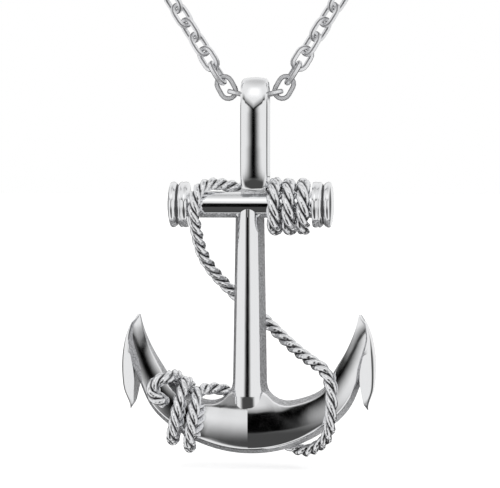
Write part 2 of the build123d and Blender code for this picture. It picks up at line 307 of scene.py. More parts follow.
# Rope
rope = {
    "diameter": 1.6, "lobes": 3, "lobeRadius": 0.42, "lobeOffset": 0.38, "sidesPerLobe": 10,
    "lay": 4.4, "layOnTurns": 5.3, "fullOnTurns": 1.1, "thinning": 0.1, "stepsPerRun": 14,
    "wireScale": 0.55, "endTaper": 0.5, "endSize": 0.35, "sharpAngle": 70,
}
stock = {
    "length": 21.0, "diameter": 3.3, "reelWidth": 2.65, "reelDiameter": 5.75,
    "grooveDepth": 0.45, "grooveWidth": 0.63, "grooveShoulder": 0.55, "grooveShade": 0.24,
    "flange": 0.58, "capBulge": 0.4, "ridge": 0.32, "beadCrown": 0.1, "ridgeCrown": 0.07,
    "sides": 64, "edge": 0.06, "castBelow": 0.62,
}
# The same route as the solid's, from the right reel to the hitch on the left arm
turns = {
    "startX": 3.05, "spacing": 1.84, "top": 2.65, "bottom": -3.2, "depth": 2.65, "steps": 8,
    "cornerSwell": 1.09, "sideSwell": 1.02, "armBackSwell": 1.27, "armFront": 2.95, "armBack": 2.9,
    "reelGap": 0.15, "armsDrop": 31.6,
}
routeBehindBail = (
    (3.25, 2.05, 2.48), (1.90, 3.15, 1.95), (0.20, 3.25, 1.65), (-1.45, 2.75, 1.95),
)
# x is measured from the left reel here
routeOverStock = (
    (3.95, 1.80, 2.38), (2.45, 0.75, 2.65), (1.20, -0.65, 2.55), (0.35, -2.00, 1.75),
    (0.00, -2.75, 0.20), (0.00, -2.55, -1.50), (0.15, -1.80, -3.10),
)
routeDownAndAcross = (
    (-6.50, -1.00, -4.70), (-6.15, -0.20, -6.25), (-5.45, 0.60, -7.65), (-4.55, 1.35, -8.95),
    (-3.45, 1.95, -10.20), (-2.05, 2.27, -11.60), (-0.25, 2.38, -13.10), (1.60, 2.25, -14.70),
    (3.65, 1.35, -16.55), (5.80, 0.15, -18.35), (7.95, -1.35, -19.70), (9.55, -2.40, -20.60),
)
# On the arms z is measured up from their lowest point
routeOverRightArm = (
    (10.30, -2.80, 9.30), (10.45, -2.95, 7.30), (10.35, -2.85, 5.40), (10.15, -2.30, 3.60),
    (9.60, -1.20, 2.10), (8.50, 0.00, 1.15), (7.10, 1.25, 0.40), (5.55, 2.35, 0.55),
)
routeBehindArms = (
    (4.05, 2.65, 1.35), (2.65, 2.52, 2.65), (1.05, 2.52, 4.25), (-0.75, 2.52, 5.95),
    (-2.45, 2.35, 7.45), (-4.10, 1.60, 8.30),
)
# A row for each turn round the left arm: its middle, and how far its top lies from there
leftTurns = ((-7.15, 4.50, 0.55, 3.68), (-9.10, 5.50, 0.80, 3.75), (-10.20, 6.00, 0.60, 3.95))
routeHitch = (
    (-10.40, -2.10, 9.90), (-11.85, -2.60, 9.45), (-12.45, -2.60, 8.15), (-11.60, -2.65, 6.95),
    (-10.40, -2.75, 6.65),
)


def stockTurns():
    reelSideX = stock["length"] / 2 - stock["reelWidth"] - turns["reelGap"] - rope["diameter"] / 2
    count = 1 + int((reelSideX - turns["startX"]) / turns["spacing"])
    middle = (turns["top"] + turns["bottom"]) / 2
    points = []
    for step in range(count * turns["steps"] - 3):
        turn, part = divmod(step, turns["steps"])
        share = part / turns["steps"]
        swell = turns["cornerSwell"] if part % 2 else turns["sideSwell"]
        x = turns["startX"] + turns["spacing"] * (turn + max(0, 2 * share - 1))
        y = -turns["depth"] * sin(2 * pi * share) * swell
        z = middle + (turns["top"] - middle) * cos(2 * pi * share) * swell
        points.append((x, y, z))
    overStock = [(x - reelSideX, y, z) for x, y, z in routeOverStock]
    return list(reversed(points)) + list(routeBehindBail) + overStock


def armTurns():
    points = []
    for step in range((len(leftTurns) - 1) * turns["steps"] + 1):
        turn, part = divmod(step, turns["steps"])
        share = part / turns["steps"]
        here = leftTurns[turn]
        after = leftTurns[min(turn + 1, len(leftTurns) - 1)]
        moved = max(0, 2 * share - 1)
        middleX, middleZ, topX, topZ = [a + (b - a) * moved for a, b in zip(here, after)]
        behind = share > 0.5
        cornerSwell = turns["armBackSwell"] if behind else turns["cornerSwell"]
        swell = cornerSwell if part % 2 else turns["sideSwell"]
        depth = turns["armBack"] if behind else turns["armFront"]
        rise = swell * cos(2 * pi * share)
        y = -swell * depth * sin(2 * pi * share)
        points.append((middleX + topX * rise, y, middleZ + topZ * rise))
    return points


def routeLine(points):
    # the smooth line of the route, read from its NURBS curve
    data = bpy.data.curves.new("ropeRoute", "CURVE")
    data.dimensions = "3D"
    data.resolution_u = rope["stepsPerRun"]
    spline = data.splines.new("NURBS")
    spline.points.add(len(points) - 1)
    for point, place in zip(spline.points, points):
        point.co = (*place, 1)
    spline.order_u = 3
    spline.use_endpoint_u = True
    spline.resolution_u = rope["stepsPerRun"]
    curve = bpy.data.objects.new("ropeRoute", data)
    mesh = bpy.data.meshes.new_from_object(curve)
    line = [vert.co.copy() for vert in mesh.vertices]
    bpy.data.meshes.remove(mesh)
    bpy.data.objects.remove(curve)
    bpy.data.curves.remove(data)
    return line


def lobeOutline():
    # three round strands seen end on, as distance and angle about the rope's middle
    outline = []
    sides = rope["sidesPerLobe"]
    half = pi / rope["lobes"]
    for lobe in range(rope["lobes"]):
        for side in range(sides):
            angle = half * (2 * side / sides - 1)
            across = rope["lobeOffset"] * sin(angle)
            reach = rope["lobeOffset"] * cos(angle) + sqrt(rope["lobeRadius"] ** 2 - across ** 2)
            outline.append((reach, angle + 2 * half * lobe))
    return outline


def makeRope():
    onArms = list(routeOverRightArm) + list(routeBehindArms) + armTurns() + list(routeHitch)
    line = routeLine(stockTurns() + list(routeDownAndAcross)
                     + [(x, y, z - turns["armsDrop"]) for x, y, z in onArms])
    outline = lobeOutline()
    # the strands lie longer on the turns round the stock and the right arm, and the rope is fuller
    # on those round the stock
    stockEnd = turns["steps"] * 3 - 4
    overArm = len(stockTurns()) + len(routeDownAndAcross)
    longLays = [(0, stockEnd), (overArm, overArm + 5)]
    travelled = [0.0]
    twists = [0.0]
    fullness = [rope["fullOnTurns"]]
    for number, (before, here) in enumerate(zip(line, line[1:])):
        control = number / rope["stepsPerRun"]
        onTurns = any(first <= control <= last for first, last in longLays)
        run = (here - before).length
        travelled.append(travelled[-1] + run)
        twists.append(twists[-1] - 2 * pi * run / (rope["layOnTurns"] if onTurns else rope["lay"]))
        full = rope["fullOnTurns"] if control < stockEnd else 1.0
        fullness.append(fullness[-1] + (full - fullness[-1]) * rope["thinning"])
    ahead = line[1:] + line[-1:]
    behind = line[:1] + line[:-1]
    tangents = [(after - before).normalized() for after, before in zip(ahead, behind)]
    side = tangents[0].orthogonal().normalized()
    rings = []
    for centre, tangent, along, twist, full in zip(line, tangents, travelled, twists, fullness):
        side = (side - tangent * side.dot(tangent)).normalized()
        other = tangent.cross(side)
        fromEnd = min(along, travelled[-1] - along) / rope["endTaper"]
        size = full
        if fromEnd < 1:   # the ends are rounded
            size *= rope["endSize"] + (1 - rope["endSize"]) * sqrt(1 - (1 - fromEnd) ** 2)
        rings.append([
            centre + size * reach * (side * cos(angle + twist) + other * sin(angle + twist))
            for reach, angle in outline])
    bm = bmesh.new()
    sweepRings(bm, rings)
    # u runs along the rope in millimetres, v once round each strand
    uv = bm.loops.layers.uv.new("alongAndAround")
    count = len(outline)
    bm.verts.index_update()
    for face in bm.faces:
        indexes = [loop.vert.index for loop in face.loops]
        wraps = max(i % count for i in indexes) - min(i % count for i in indexes) > 1
        for loop in face.loops:
            ring, place = divmod(loop.vert.index, count)
            around = count if wraps and place == 0 else place
            loop[uv].uv = (travelled[min(ring, len(line) - 1)], around / rope["sidesPerLobe"])
    piece = makePiece("rope_strands", bm, "pendant", [ropeSteel()], anchorPlace,
                      rope["sharpAngle"])
    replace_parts(piece, "rope")
    print("rope length", round(travelled[-1], 1))


makeRope()

# Stock with its reels
polished = polishedSteel()
cast = castSteel()
groove = grooveShadeSteel()
softAngle = 50   # edges of the casting that turn less than this are shaded smooth


def bead(startX, endX, radius, crown):
    # a rounded band of the turned reel
    return [(startX + (endX - startX) * step / 6, radius - crown * (step / 3 - 1) ** 2)
            for step in range(7)]


def makeStock():
    half = stock["length"] / 2
    barRadius = stock["diameter"] / 2
    reelRadius = stock["reelDiameter"] / 2
    capX = half - stock["capBulge"]
    flangeX = capX - stock["flange"]
    barrelEndX = flangeX - stock["grooveWidth"]
    reelX = half - stock["reelWidth"]
    profile = [(0, barRadius), (reelX, barRadius)]
    ridgeX = barrelEndX - stock["ridge"]
    profile += bead(reelX, ridgeX, reelRadius, stock["beadCrown"])
    profile += bead(ridgeX, barrelEndX, reelRadius, stock["ridgeCrown"])
    halfGroove = stock["grooveWidth"] / 2
    shoulder = stock["grooveShoulder"]
    shoulderRadius = reelRadius - stock["grooveDepth"] * shoulder
    profile.append((barrelEndX + halfGroove * shoulder, shoulderRadius))
    profile.append((barrelEndX + halfGroove, reelRadius - stock["grooveDepth"]))
    profile.append((flangeX - halfGroove * shoulder, shoulderRadius))
    profile += bead(flangeX, capX, reelRadius, stock["beadCrown"])
    capRadius = (reelRadius ** 2 + stock["capBulge"] ** 2) / (2 * stock["capBulge"])
    for step in range(1, 7):
        radius = reelRadius * (1 - step / 6)
        profile.append((half - capRadius + sqrt(capRadius ** 2 - radius ** 2), radius))
    bm = bmesh.new()
    verts = [bm.verts.new((x, 0, radius)) for x, radius in profile]
    edges = [bm.edges.new(pair) for pair in zip(verts, verts[1:])]
    bmesh.ops.spin(bm, geom=verts + edges, cent=(0, 0, 0), axis=(1, 0, 0), angle=2 * pi,
                   steps=stock["sides"], use_merge=True)
    bmesh.ops.remove_doubles(bm, verts=bm.verts, dist=mergeDistance)
    mirrorX(bm)
    bmesh.ops.remove_doubles(bm, verts=bm.verts, dist=mergeDistance)
    softenEdges(bm, stock["edge"])
    joinUp(bm)
    for face in bm.faces:   # the underside was left as cast, and the groove's bottom gets painted shade
        fromGroove = abs(abs(face.calc_center_median().x) - flangeX + halfGroove)
        if fromGroove < stock["grooveWidth"] * stock["grooveShade"]:
            face.material_index = 2
        elif face.normal.z < -stock["castBelow"]:
            face.material_index = 1
    return makePiece("stock", bm, "pendant", [polished, cast, groove], anchorPlace, softAngle,
                     evenFaces=True)


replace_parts(makeStock(), "anchor")

# Shank, flared into the stock and the arms
shank = {
    "topWidth": 3.6, "bottomWidth": 4.5, "front": 1.7, "back": 1.25, "slope": 0.6, "length": 27.4,
    "crown": 0.5, "crest": 2.5, "crownSteps": 14, "topSink": 0.2, "topRun": 1.8,
    "topFlareZ": -1.2, "topFlare": 0.35, "footFlareZ": -25.27, "footFlare": 3.0, "footFront": 2.1,
    "mitreZ": -24.1, "mitreHalf": 0.02, "underMitre": 13.0, "flareSink": 0.8, "flareEdge": 0.35,
    "topRows": (-0.1, -0.6), "rows": (-6, -10, -14, -18), "edge": 0.1, "edgeAngle": 32,
    "castFrom": 0.72,
}
arms = {
    "drop": 31.6, "radius": 16.75, "front": 1.95, "back": 1.5, "innerInset": 0.6, "step": 3,
    "upperBend": 0.107, "upperSlope": 0.217, "lowerBend": 0.095, "middle": 2.7, "frontSteps": 16,
    "leftTurn": 0.14, "leftTurnTo": 6.0, "leftReturn": 0.05,
    "rightTurn": 0.03, "rightTurnFrom": 7.0, "ease": 0.5, "edge": 0.08, "edgeAngle": 32,
    "castFrom": 0.45,
}


def sideTone(bm, limit):
    # walls that face away from the front were left as cast
    for face in bm.faces:
        face.material_index = 1 if face.normal.y > -limit else 0


def roundedCorner(start, corner, end):
    # five points on a curve that leaves start and reaches end inside the corner
    shares = [step / 5 for step in range(1, 6)]
    return [start * (1 - share) ** 2 + corner * 2 * share * (1 - share) + end * share ** 2
            for share in shares]


def shankRing(z, flare):
    share = -z / shank["length"]
    half = (shank["topWidth"] + (shank["bottomWidth"] - shank["topWidth"]) * share) / 2 + flare
    edge = half - shank["slope"]
    slim = edge - flare
    sunk = shank["topSink"] * max(0, 1 + z / shank["topRun"])   # the front sinks into the stock
    front = shank["front"] - sunk
    front += (shank["footFront"] - shank["front"]) * (z / shank["mitreZ"]) ** 2
    if z < shank["mitreZ"]:
        front = shank["footFront"] - (shank["mitreZ"] - z) * tan(radians(shank["underMitre"]))
    shoulder = front - shank["crown"]
    if z < shank["topFlareZ"] - shank["topFlare"]:   # the foot's flare lies under the arms
        edge = min(edge, slim + shank["flareEdge"])
        shoulder -= shank["flareSink"] * min(flare, 1)
    points = [Vector((half, shank["back"], z)), Vector((-half, shank["back"], z)),
              Vector((-edge, -shoulder, z))]
    for step in range(shank["crownSteps"] + 1):
        across = 2 * step / shank["crownSteps"] - 1
        y = -front + shank["crown"] * abs(across) ** shank["crest"]
        points.append(Vector((across * slim, y, z)))
    points.append(Vector((edge, -shoulder, z)))
    return points


def makeShank():
    rings = [shankRing(z, shank["topFlare"]) for z in shank["topRows"]]
    for step in range(7):
        angle = step / 6 * pi / 2
        rings.append(shankRing(shank["topFlareZ"] - shank["topFlare"] * sin(angle),
                               shank["topFlare"] * (1 - sin(angle))))
    rings += [shankRing(z, 0) for z in shank["rows"]]
    foot = []
    flare = shank["footFlare"]
    for step in range(11):
        angle = step / 10 * pi / 2
        foot.append((shank["footFlareZ"] + flare * (1 - sin(angle)), flare * (1 - cos(angle))))
    foot.append((-shank["length"], flare))
    for off in (1, -1):   # two close rings keep the mitre crisp
        mitre = shank["mitreZ"] + off * shank["mitreHalf"]
        after = next(i for i, (z, _) in enumerate(foot) if z < mitre)
        (z, wide), (nextZ, nextWide) = foot[after - 1:after + 1]
        foot.insert(after, (mitre, wide + (nextWide - wide) * (z - mitre) / (z - nextZ)))
    rings += [shankRing(z, wide) for z, wide in foot]
    bm = bmesh.new()
    sweepRings(bm, rings)
    joinUp(bm)
    softenEdges(bm, shank["edge"], shank["edgeAngle"])
    joinUp(bm)
    sideTone(bm, shank["castFrom"])
    makePiece("shank", bm, "pendant", [polished, cast], castPlace, softAngle, evenFaces=True)


makeShank()

# Sections of an arm, as shares of its radius and depth, by their angle from straight down. The
# front edge stands in from the outer one by the inset, and the crest is the front's highest line.
armSections = (
    # angle, inner, outer, depth, inset, crest
    (0.0, 0.505, 1.000, 1.00, 0.045, 0.753),
    (13.0, 0.505, 1.000, 1.00, 0.045, 0.762),
    (19.0, 0.600, 1.000, 1.00, 0.045, 0.773),
    (25.0, 0.655, 1.000, 0.99, 0.045, 0.787),
    (33.0, 0.690, 1.000, 0.98, 0.045, 0.806),
    (48.0, 0.745, 0.998, 0.92, 0.040, 0.838),
    (62.0, 0.738, 0.957, 0.82, 0.022, 0.838),
    (76.0, 0.768, 0.948, 0.66, 0.006, 0.842),
    (88.0, 0.808, 0.897, 0.44, 0.004, 0.843),
    (94.0, 0.828, 0.852, 0.25, 0.003, 0.840),
)


def smoothRow(rows, place):
    # a row of the table at any place along its first column, on a curve through the rows
    rows = [(-rows[1][0], *rows[1][1:])] + list(rows) + [rows[-1]]
    index = max(i for i in range(1, len(rows) - 2) if rows[i][0] <= place or i == 1)
    before, here, after, later = rows[index - 1:index + 3]
    share = (place - here[0]) / (after[0] - here[0])
    found = []
    for a, b, c, d in zip(before[1:], here[1:], after[1:], later[1:]):
        slopeB = (c - a) / (after[0] - before[0]) * (after[0] - here[0])
        slopeC = (d - b) / max(later[0] - here[0], 1) * (after[0] - here[0])
        found.append((2 * share ** 3 - 3 * share ** 2 + 1) * b
                     + (share ** 3 - 2 * share ** 2 + share) * slopeB
                     + (3 * share ** 2 - 2 * share ** 3) * c + (share ** 3 - share ** 2) * slopeC)
    return found


def armRing(angle):
    inner, outer, depth, inset, crest = smoothRow(armSections, abs(angle))
    radius = arms["radius"]
    centreZ = radius - arms["drop"]
    near, far = inner * radius, outer * radius
    back = arms["back"] * depth
    frontNear = near + inset * radius * arms["innerInset"]
    frontFar = far - inset * radius
    width = frontFar - frontNear
    section = [(far, back), (near, back)]
    ease = arms["ease"] * depth * min(width / 2 / arms["middle"], 1)
    curved = arms["upperSlope"] / arms["upperBend"]   # inwards of this the front is straight
    steps = arms["frontSteps"]
    front = [frontNear + (width - ease) * step / steps for step in range(steps + 1)] + [frontFar]
    for reach in front:
        past = reach - crest * radius
        if past > 0:
            drop = arms["lowerBend"] / 2 * past ** 2
        else:
            drop = arms["upperBend"] / 2 * min(-past, curved) ** 2
            drop += arms["upperSlope"] * max(-past - curved, 0)
        section.append((reach, drop - depth * arms["front"]))
    # the lower front edge is rounded
    corner = Vector(section.pop())
    end = corner + (Vector((far, back)) - corner).normalized() * ease
    section += roundedCorner(Vector(section[-1]), corner, end)
    points = []
    for reach, y in section:
        x = reach * sin(radians(angle))
        if y < 0:   # the left arm's front turns away up to its rope, the right one's beyond it
            beyond = max(-x - arms["leftTurnTo"], 0)
            y += arms["leftTurn"] * min(max(-x, 0), arms["leftTurnTo"])
            y += arms["rightTurn"] * max(x - arms["rightTurnFrom"], 0)
            y -= arms["leftReturn"] * beyond
        points.append(Vector((x, y, centreZ - reach * cos(radians(angle)))))
    return points


def makeArms():
    last = int(armSections[-1][0])
    angles = [last - 0.5 * i for i in range(3)] + list(range(90, 0, -arms["step"]))
    angles = [-angle for angle in angles] + [0] + list(reversed(angles))
    bm = bmesh.new()
    sweepRings(bm, [armRing(angle) for angle in angles])
    joinUp(bm)
    softenEdges(bm, arms["edge"], arms["edgeAngle"], 3)
    joinUp(bm)
    sideTone(bm, arms["castFrom"])
    piece = makePiece("arms", bm, "pendant", [polished, cast], castPlace, softAngle, evenFaces=True)
    # the two arms meet in a crease in front of the shank's foot
    middleX = (anchorX + castingShift) * mm
    for edge in piece.data.edges:
        ends = [piece.data.vertices[i].co for i in edge.vertices]
        if all(abs(end.x - middleX) < 0.01 * mm and end.y < 0 for end in ends):
            edge.use_edge_sharp = True


makeArms()

# Palms
palm = {
    "height": 12.1, "depth": 7.0, "thickness": 1.6, "crown": 0.6, "bulge": 1.55, "lean": 5.2,
    "angle": 71.0, "seat": 0.9157, "rows": 30, "lastRow": 0.998, "slant": 0.7, "slantLimit": 0.45,
    "rim": 0.35, "rimLimit": 0.3, "topSlim": 0.2, "slimBy": 0.6, "edge": 0.03, "castFrom": 0.6,
    "leastWidth": 0.03, "leastOuter": 0.05, "leastThick": 0.04,
}
# Each row's height from the palm's middle, and its outer face or thickness, as shares
palmProfile = ((-1.00, 0.00), (-0.55, 0.68), (0.00, 1.00), (0.45, 0.93), (0.78, 0.62), (1.00, 0.00))
# A palm is thickest below its middle and thins out upwards behind the arm's tip
palmThickness = (
    (-1.00, 0.05), (-0.78, 0.46), (-0.57, 0.74), (-0.35, 0.84), (-0.14, 0.78),
    (0.08, 0.60), (0.29, 0.38), (0.57, 0.14), (1.00, 0.06),
)


def palmRing(height):
    # height is a share of the palm's half, from -1 at its foot to 1 at its tip
    half = palm["height"] / 2
    halfDepth = palm["depth"] / 2
    outlineRadius = (half ** 2 + halfDepth ** 2) / palm["depth"]
    z = height * half
    width = max(sqrt(outlineRadius ** 2 - z ** 2) - (outlineRadius - halfDepth),
                palm["leastWidth"])
    rising = min(max(height, 0) / palm["slimBy"], 1)
    width *= 1 - palm["topSlim"] * rising ** 2 * (3 - 2 * rising)
    outer = max(smoothRow(palmProfile, height)[0] * palm["bulge"], palm["leastOuter"])
    inner = outer - palm["thickness"] * max(smoothRow(palmThickness, height)[0], palm["leastThick"])
    # the plate's edge slants, so that its outer face is the narrower, and its rim is rounded
    slanted = min(palm["slant"] * (outer - inner), palm["slantLimit"] * width)
    ease = min(palm["rim"] * (outer - inner), palm["rimLimit"] * (width - slanted))
    halfRing = [(outer, step / 4 * (width - slanted - ease)) for step in range(5)]
    rim = Vector((outer, width - slanted))
    edge = Vector((inner, width)) - rim
    end = rim + edge * min(ease / max(edge.length, 0.01), 0.5)
    halfRing += roundedCorner(Vector(halfRing[-1]), rim, end)
    halfRing += [(inner, step / 4 * width) for step in (4, 3, 2, 1, 0)]
    ring = [(side, -y) for side, y in reversed(halfRing[1:-1])] + halfRing
    return [Vector((side - palm["crown"] * (y / halfDepth) ** 2, y, z)) for side, y in ring]


def makePalms():
    bm = bmesh.new()
    # the rows lie closer towards the foot and the tip
    heights = [sin(pi / 2 * (2 * row / palm["rows"] - 1)) * palm["lastRow"]
               for row in range(palm["rows"] + 1)]
    sweepRings(bm, [palmRing(height) for height in heights])
    joinUp(bm)
    softenEdges(bm, palm["edge"])
    joinUp(bm)
    for face in bm.faces:   # the face towards the shank is rough
        face.material_index = 1 if face.normal.x < -palm["castFrom"] else 0
    seatRadius = palm["seat"] * arms["radius"]
    seat = Vector((seatRadius * sin(radians(palm["angle"])), 0,
                   arms["radius"] - arms["drop"] - seatRadius * cos(radians(palm["angle"]))))
    lean = Matrix.Rotation(radians(-palm["lean"]), 4, "Y")
    bmesh.ops.transform(bm, matrix=Matrix.Translation(seat) @ lean, verts=bm.verts)
    mirrorX(bm)
    makePiece("palms", bm, "pendant", [polished, cast], castPlace, softAngle, evenFaces=True)


makePalms()


# Bail, a crowned strip bent to a long loop, and its solder. The points of its outer face lie at
# these shares of half the strip's width.
bailAcross = (0, 0.21, 0.42, 0.63, 0.84, 0.9, 0.95, 1)


def bailRing(angle, outerTurn, innerTurn, crown):
    # a section of the strip at an angle from the front
    middleZ, rise, power = outerTurn   # a turn's middle, its radius upwards and how square it is
    halfDepth = bail["depth"] / 2
    inner = halfDepth - bail["wall"]
    upwards = sin(angle)
    forwards = max(1 - abs(upwards) ** power, 0) ** (1 / power)
    forwards = -forwards if cos(angle) < 0 else forwards
    outwards = Vector((0, -abs(forwards) ** (power - 2) * forwards / halfDepth,
                       abs(upwards) ** (power - 2) * upwards / rise)).normalized()
    crest = Vector((0, -halfDepth * forwards, middleZ + rise * upwards))
    inside = Vector((0, -inner * cos(angle), innerTurn + inner * sin(angle)))
    halfWidth = Vector((bail["width"] / 2, 0, 0))
    ring = []
    for step in range(7):
        across = 1 - step / 3
        ring.append(inside + halfWidth * across + outwards * bail["innerCrown"] * across ** 2)
    for across in [-share for share in reversed(bailAcross[1:])] + list(bailAcross):
        pastFlat = max(abs(across) - bail["roundFrom"], 0) / (1 - bail["roundFrom"])
        drop = crown * across ** 2 + bail["round"] * pastFlat ** 2
        ring.append(crest + halfWidth * across - outwards * drop)
    return ring


def makeBail():
    top = bail["toStock"] + bail["depth"] / 2
    foot = stock["diameter"] / 2 - bail["solderDepth"]
    topTurn = (top - bail["topRise"], bail["topRise"], bail["topPower"])
    footTurn = (foot + bail["footRise"], bail["footRise"], bail["footPower"])
    angles = [step / bail["steps"] * pi for step in range(bail["steps"] + 1)]
    rings = [bailRing(angle, topTurn, bail["toStock"], bail["crown"]) for angle in angles]
    rings += [bailRing(pi + angle, footTurn, foot + bail["depth"] / 2, bail["footCrown"])
              for angle in angles]
    bm = bmesh.new()
    sweepRings(bm, rings, closed=True)
    joinUp(bm)
    softenEdges(bm, bail["edge"], softAngle, 3)
    place = anchorPlace @ Matrix.Translation((bail["shift"], 0, 0))
    makePiece("bail", bm, "pendant", [polished], place, softAngle, evenFaces=True)


solder = {
    "width": 3.3, "length": 3.0, "height": 0.6, "cuts": 18, "rounds": 6,
    "lump": 0.16, "lumpSize": 0.45,
}


def makeSolder():
    bm = bmesh.new()
    bmesh.ops.create_cube(bm, size=1)
    size = (solder["width"], solder["length"], solder["height"])
    bmesh.ops.scale(bm, vec=size, verts=bm.verts)
    bmesh.ops.subdivide_edges(bm, edges=bm.edges, cuts=solder["cuts"], use_grid_fill=True)
    for _ in range(solder["rounds"]):
        bmesh.ops.smooth_vert(bm, verts=bm.verts, factor=0.5, use_axis_x=True, use_axis_y=True,
                              use_axis_z=True)
    bm.normal_update()
    for vert in bm.verts:
        vert.co += vert.normal * noise.noise(vert.co / solder["lumpSize"]) * solder["lump"]
    place = anchorPlace @ Matrix.Translation((bail["shift"], 0, stock["diameter"] / 2))
    makePiece("solder", bm, "pendant", [solderMetal()], place)


makeBail()
makeSolder()

# Chain
chain = {
    "length": 3.53, "width": 2.5, "wire": 0.6, "edge": 0.13, "bendSteps": 8, "edgeShade": (0.4, 0.9),
    "play": 0.19, "perSide": 112, "sideAngle": 32.0, "firstAngle": 29.0, "firstRise": 1.03,
    "entrySlope": 13.5, "entryReach": 0.4, "ringClearance": 0.15,
    "firstTwists": (0.0, 15.0, 30.0, 40.0), "settledTwist": 45.0, "sharpAngle": 30,
}
linkMetal = linkSteel("link_steel", (0.88, 0.885, 0.9))
# the second steel is painted shade for the links' eased edges
linkEdgeShadeMetal = linkSteel("link_edge_painted_shade_steel", (0.34, 0.34, 0.35))


def linkMesh():
    # one flat oval ring of square wire with eased edges
    half = chain["wire"] / 2
    ease = chain["edge"]
    middle = chain["width"] / 2 - half
    flat = half - ease
    section = [(half, flat), (flat, half), (-flat, half), (-half, flat),
               (-half, -flat), (-flat, -half), (flat, -half), (half, -flat)]
    offset = (chain["length"] - chain["width"]) / 2
    rings = []
    for centreX, start in ((offset, -pi / 2), (-offset, pi / 2)):
        for step in range(chain["bendSteps"] + 1):
            angle = start + step / chain["bendSteps"] * pi
            around = Vector((cos(angle), 0, sin(angle)))
            rings.append([Vector((centreX, y, 0)) + around * (middle + across)
                          for across, y in section])
    bm = bmesh.new()
    sweepRings(bm, rings, closed=True)
    bmesh.ops.recalc_face_normals(bm, faces=bm.faces)
    bm.normal_update()
    flattest, steepest = chain["edgeShade"]
    for face in bm.faces:   # painted shade: the eased edges get a darker steel
        face.material_index = 1 if flattest < abs(face.normal.y) < steepest else 0
    mesh = bpy.data.meshes.new("oneLink")
    bm.to_mesh(mesh)
    bm.free()
    return mesh


def linkPlace(x, z, direction, roll):
    return (Matrix.Translation((x, 0, z)) @ Matrix.Rotation(radians(-direction), 4, "Y")
            @ Matrix.Rotation(radians(roll), 4, "X"))


def ringSizes():
    # the end rings' middle radius and wire, and how far they stand from the clasp's middle
    low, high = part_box("end_ring")
    wire = (high.y - low.y) / mm
    return ((high.x - low.x) / mm - wire) / 2, wire, (high.x + low.x) / 2 / mm


def sidePlaces():
    # where the links of the right side lie, from beside the bail to the ring at the clasp
    wire, play = chain["wire"], chain["play"]
    pitch = chain["length"] - 2 * wire - play
    bar = chain["length"] / 2 - wire / 2
    endOffset = (chain["length"] - chain["width"]) / 2
    slope = radians(chain["entrySlope"])
    firstAngle = radians(chain["firstAngle"])
    sideAngle = radians(chain["sideAngle"])
    entryX = chain["entryReach"] + bar * cos(slope)
    hook = chain["width"] / 2 - wire - play - wire / 2 + bar
    firstX = entryX + hook * cos(slope) + endOffset * sin(firstAngle)
    entryDrop = hook * sin(slope) + endOffset * cos(firstAngle)
    firstAlong = firstX / sin(sideAngle)
    ringRadius, ringWire, ringX = ringSizes()
    ringFromLink = chain["length"] / 2 - wire - chain["ringClearance"] - ringWire / 2 + ringRadius
    halfLoop = firstAlong + (chain["perSide"] - 1) * pitch + ringFromLink + ringX
    neckRadius = halfLoop / (1 / tan(sideAngle) + pi / 2 + sideAngle)
    straight = neckRadius / tan(sideAngle)
    neckZ = -neckRadius * cos(ringX / neckRadius)
    cornerZ = neckZ - neckRadius / sin(sideAngle)
    entryZ = bailAxisZ + chain["firstRise"] - entryDrop
    places = [linkPlace(entryX, entryZ, chain["entrySlope"], 90)]
    for number in range(chain["perSide"]):
        along = firstAlong + number * pitch
        if along <= straight:
            heading = pi / 2 - sideAngle
            x, z = along * cos(heading), cornerZ + along * sin(heading)
        else:
            turned = (along - straight) / neckRadius - sideAngle
            x, z = neckRadius * cos(turned), neckZ + neckRadius * sin(turned)
            heading = turned + pi / 2
        if number == 0:
            heading = pi / 2 - firstAngle
        fromEnd = min(number, chain["perSide"] - 1 - number)
        twist = chain["settledTwist"]
        if fromEnd < len(chain["firstTwists"]):
            twist = chain["firstTwists"][fromEnd]
        places.append(linkPlace(x, z, degrees(heading), 90 * number + twist))
    return places


def makeChainSide(name, places, node, flip):
    link = linkMesh()
    bm = bmesh.new()
    for place in places:
        known = len(bm.verts)
        bm.from_mesh(link)
        bm.verts.ensure_lookup_table()
        bmesh.ops.transform(bm, matrix=place, verts=bm.verts[known:])
    if flip:
        bmesh.ops.scale(bm, vec=(-1, 1, 1), verts=bm.verts)
    bpy.data.meshes.remove(link)
    piece = makePiece(name, bm, "chain", [linkMetal, linkEdgeShadeMetal], Matrix.Scale(mm, 4),
                      chain["sharpAngle"])
    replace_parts(piece, node)


rightPlaces = sidePlaces()
makeChainSide("links_left", rightPlaces, "chain_left", True)
makeChainSide("links_right", [linkPlace(0, bailAxisZ, 0, 0)] + rightPlaces, "chain_right", False)


# Clasp and its rings
endRing = {"around": 14, "along": 40}


def makeEndRing(name, node, side):
    ringRadius, wire, ringX = ringSizes()
    bm = bmesh.new()
    section = bmesh.ops.create_circle(bm, segments=endRing["around"], radius=wire / 2)["verts"]
    bmesh.ops.translate(bm, vec=(ringRadius, 0, 0), verts=section)
    bmesh.ops.spin(bm, geom=bm.verts[:] + bm.edges[:], cent=(0, 0, 0), axis=(0, 1, 0), angle=2 * pi,
                   steps=endRing["along"], use_merge=True)
    place = Matrix.Scale(mm, 4) @ Matrix.Translation((side * ringX, 0, 0))
    piece = makePiece(name, bm, "chain", [linkMetal], place)
    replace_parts(piece, node)


def makeClasp():
    # the closed clasp keeps the solid's shape, with its loose triangles joined
    bm = bmesh.new()
    bm.from_mesh(frame["nodes"]["clasp"].data)
    bmesh.ops.scale(bm, vec=(1 / mm, 1 / mm, 1 / mm), verts=bm.verts)
    piece = makePiece("clasp_body", bm, "chain", [linkMetal], Matrix.Scale(mm, 4))
    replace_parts(piece, "clasp")


makeEndRing("ring_left", "clasp_ring", -1)
makeEndRing("ring_right", "end_ring", 1)
makeClasp()

